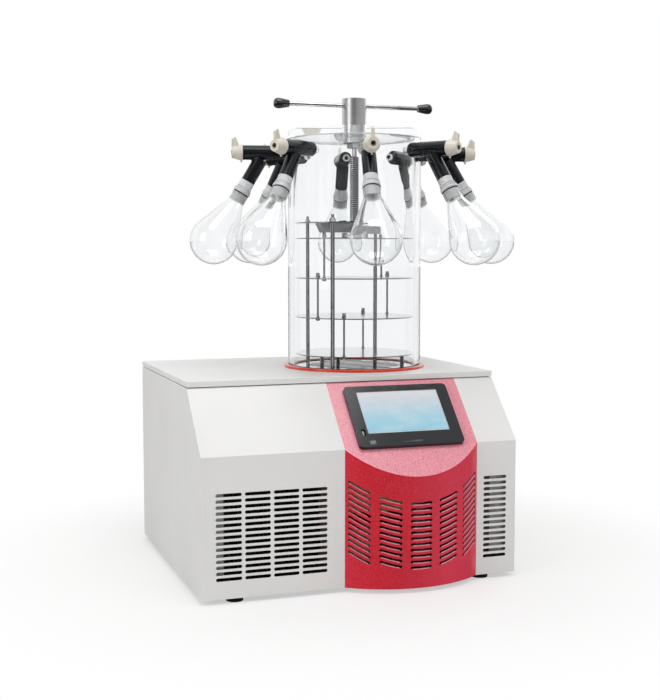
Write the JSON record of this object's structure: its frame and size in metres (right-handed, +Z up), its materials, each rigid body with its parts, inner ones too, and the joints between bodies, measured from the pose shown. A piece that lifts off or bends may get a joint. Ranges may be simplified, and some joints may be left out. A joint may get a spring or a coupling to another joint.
{
  "type": "freeze dryer",
  "caption": "Bench freeze dryer: slanted cabinet with touch screen and cold trap, clear chamber with shelf rack, screw press, and valve ports with round flasks.",
  "frame": {"origin": "on the floor, under the middle of the whole object's bounding box", "axes": "+Z up, -Y towards the front with the touch screen, +X to the right of a person facing the front"},
  "size_m": [0.692, 0.638, 0.893],
  "materials": {
    "painted_white": "satin powder coat",
    "painted_red": "fine textured powder coat",
    "black_rubber": "matte",
    "red_silicone": "satin",
    "steel": "brushed",
    "chrome": "polished",
    "aluminium": "satin turned",
    "cast": "as cast",
    "black_plastic": "fine matte",
    "screen": "glossy lit screen",
    "foam": "rigid foam",
    "copper": "drawn tube",
    "brass": "satin",
    "clear_acrylic": "polished clear",
    "clear_glass": "clear blown",
    "frosted": "frosted",
    "white_silicone": "translucent",
    "cream_plastic": "moulded",
    "red_plastic": "moulded",
    "zinc_sheet": "galvanised"
  },
  "bodies": {
    "base": {"chassis": "zinc_sheet", "feet": "black_rubber", "front_cover": "painted_white", "red_panel": "painted_red", "side_cover_left": "painted_white", "side_cover_right": "painted_white", "back_panel": "painted_white", "worktop": "painted_white", "hmi_bezel": "black_plastic", "hmi_screen": "screen", "trap_well": "steel", "trap_foam": "foam", "evaporator_coil": "copper", "compressor": "zinc_sheet", "condenser": "aluminium", "fan_frame": "zinc_sheet", "controller_box": "zinc_sheet", "vacuum_port": "steel", "drain_valve": "brass", "power_inlet": "black_plastic", "gasket_ring": "red_silicone", "chamber_tube": "clear_acrylic", "lid_seal": "white_silicone", "chamber_lid": "clear_acrylic", "gland": "aluminium", "gland_nut": "steel", "yoke": "cast", "top_plate": "steel", "rack_posts": "steel", "post_nuts": "steel", "shelf_d": "steel", "rods_cd": "steel", "rack_base": "steel", "port_nipples": "steel", "valve_bodies": "black_rubber", "joint_adapters": "frosted", "flasks": "clear_glass"},
    "handle": {"handle_hub": "aluminium", "handle_bar": "chrome", "bar_caps": "black_plastic", "drive_shaft": "steel"},
    "press": {"press_plate": "steel", "thrust_pad": "steel"},
    "screw": {"lead_screw": "steel"},
    "shelf_b": {"shelf_b": "steel", "rods_ab": "steel"},
    "shelf_c": {"shelf_c": "steel", "rods_bc": "steel"},
    "fan": {"fan_rotor": "black_plastic"},
    "drain_lever": {"drain_lever": "red_plastic"},
    "power_switch": {"power_switch": "red_plastic"},
    "valve_knob_1": {"valve_knob_1": "cream_plastic"},
    "valve_knob_2": {"valve_knob_2": "cream_plastic"},
    "valve_knob_3": {"valve_knob_3": "cream_plastic"},
    "valve_knob_4": {"valve_knob_4": "cream_plastic"},
    "valve_knob_5": {"valve_knob_5": "cream_plastic"},
    "valve_knob_6": {"valve_knob_6": "cream_plastic"},
    "valve_knob_7": {"valve_knob_7": "cream_plastic"},
    "valve_knob_8": {"valve_knob_8": "cream_plastic"}
  },
  "joints": [
    {"name": "handle_turn", "type": "hinge", "parent": "base", "child": "handle", "pos_m": [0.03097, 0.00397, 0.879], "axis": [0, 0, -1], "range_deg": [0, 2700]},
    {"name": "press_slide", "type": "slide", "parent": "base", "child": "press", "axis": [0, 0, -1], "range_m": [0, 0.03]},
    {"name": "screw_turn", "type": "hinge", "parent": "press", "child": "screw", "pos_m": [0.03097, 0.00397, 0.623], "axis": [0, 0, -1], "range_deg": [0, 2700]},
    {"name": "shelf_b_slide", "type": "slide", "parent": "base", "child": "shelf_b", "axis": [0, 0, -1], "range_m": [0, 0.02]},
    {"name": "shelf_c_slide", "type": "slide", "parent": "base", "child": "shelf_c", "axis": [0, 0, -1], "range_m": [0, 0.01]},
    {"name": "valve_knob_1_turn", "type": "hinge", "parent": "base", "child": "valve_knob_1", "pos_m": [-0.01584, -0.20895, 0.7875], "axis": [-0.2147, -0.9767, 0], "range_deg": [0, 180]},
    {"name": "valve_knob_2_turn", "type": "hinge", "parent": "base", "child": "valve_knob_2", "pos_m": [0.14842, -0.17969, 0.7875], "axis": [0.5388, -0.8425, 0], "range_deg": [0, 180]},
    {"name": "valve_knob_3_turn", "type": "hinge", "parent": "base", "child": "valve_knob_3", "pos_m": [0.24388, -0.04284, 0.7875], "axis": [0.9767, -0.2147, 0], "range_deg": [0, 180]},
    {"name": "valve_knob_4_turn", "type": "hinge", "parent": "base", "child": "valve_knob_4", "pos_m": [0.21462, 0.12142, 0.7875], "axis": [0.8425, 0.5388, 0], "range_deg": [0, 180]},
    {"name": "valve_knob_5_turn", "type": "hinge", "parent": "base", "child": "valve_knob_5", "pos_m": [0.07778, 0.21688, 0.7875], "axis": [0.2147, 0.9767, 0], "range_deg": [0, 180]},
    {"name": "valve_knob_6_turn", "type": "hinge", "parent": "base", "child": "valve_knob_6", "pos_m": [-0.08648, 0.18762, 0.7875], "axis": [-0.5388, 0.8425, 0], "range_deg": [0, 180]},
    {"name": "valve_knob_7_turn", "type": "hinge", "parent": "base", "child": "valve_knob_7", "pos_m": [-0.18195, 0.05078, 0.7875], "axis": [-0.9767, 0.2147, 0], "range_deg": [0, 180]},
    {"name": "valve_knob_8_turn", "type": "hinge", "parent": "base", "child": "valve_knob_8", "pos_m": [-0.15269, -0.11348, 0.7875], "axis": [-0.8425, -0.5388, 0], "range_deg": [0, 180]},
    {"name": "fan_spin", "type": "hinge", "parent": "base", "child": "fan", "pos_m": [-0.22103, -0.20853, 0.1], "axis": [0, 1, 0], "continuous": true},
    {"name": "drain_lever_turn", "type": "hinge", "parent": "base", "child": "drain_lever", "pos_m": [0.03097, 0.26397, 0.062], "axis": [0, 0, 1], "range_deg": [0, 90]},
    {"name": "power_switch_rock", "type": "hinge", "parent": "base", "child": "power_switch", "pos_m": [-0.21103, 0.24097, 0.09], "axis": [1, 0, 0], "range_deg": [0, 16]}
  ],
  "couplings": [
    {"joint": "press_slide", "follows": "handle_turn", "m_per_rad": 0.00063662},
    {"joint": "screw_turn", "follows": "handle_turn", "ratio": 1},
    {"joint": "shelf_b_slide", "follows": "handle_turn", "m_per_rad": 0.00042441},
    {"joint": "shelf_c_slide", "follows": "handle_turn", "m_per_rad": 0.00021221}
  ]
}
